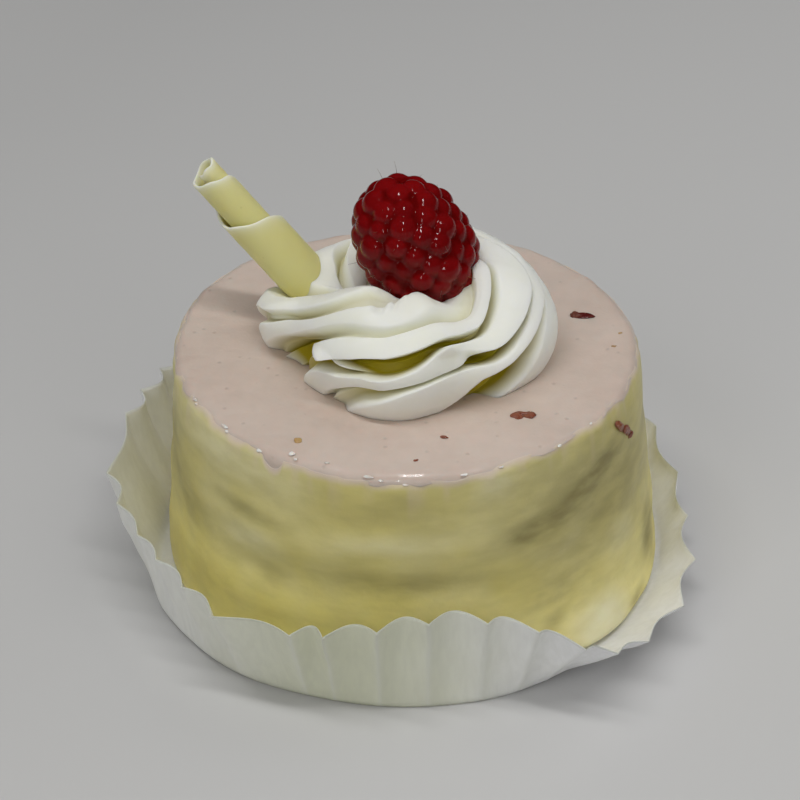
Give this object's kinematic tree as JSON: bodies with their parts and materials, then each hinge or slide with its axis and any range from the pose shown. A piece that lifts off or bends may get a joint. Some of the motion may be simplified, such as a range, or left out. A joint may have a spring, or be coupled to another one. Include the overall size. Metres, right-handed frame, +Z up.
{
  "type": "charlotte cake",
  "caption": "Small round charlotte cake with a pink mousse top, piped cream rosette, raspberry and white chocolate curl, in a fluted paper case.",
  "frame": {"origin": "on the underside of the paper case, below the middle of the cake's flat top", "axes": "+Z up; the front, with the raised fold of paper and the open side of the swirl, faces -Y; the chocolate curl leans towards -X"},
  "size_m": [0.0936, 0.1003, 0.0658],
  "materials": {
    "paper": "matte greaseproof paper, a little translucent",
    "cream_coating": "moist satin cream coating",
    "pink_mousse": "moist satin mousse",
    "whipped_cream": "smooth soft cream",
    "raspberry_flesh": "glossy wet fruit",
    "white_chocolate": "satin chocolate"
  },
  "bodies": {
    "root": {"paper_case": "paper", "cake_body": "cream_coating", "pink_layer": "pink_mousse", "cream_rosette": "whipped_cream", "raspberry": "raspberry_flesh", "chocolate_curl": "white_chocolate"}
  },
  "joints": []
}
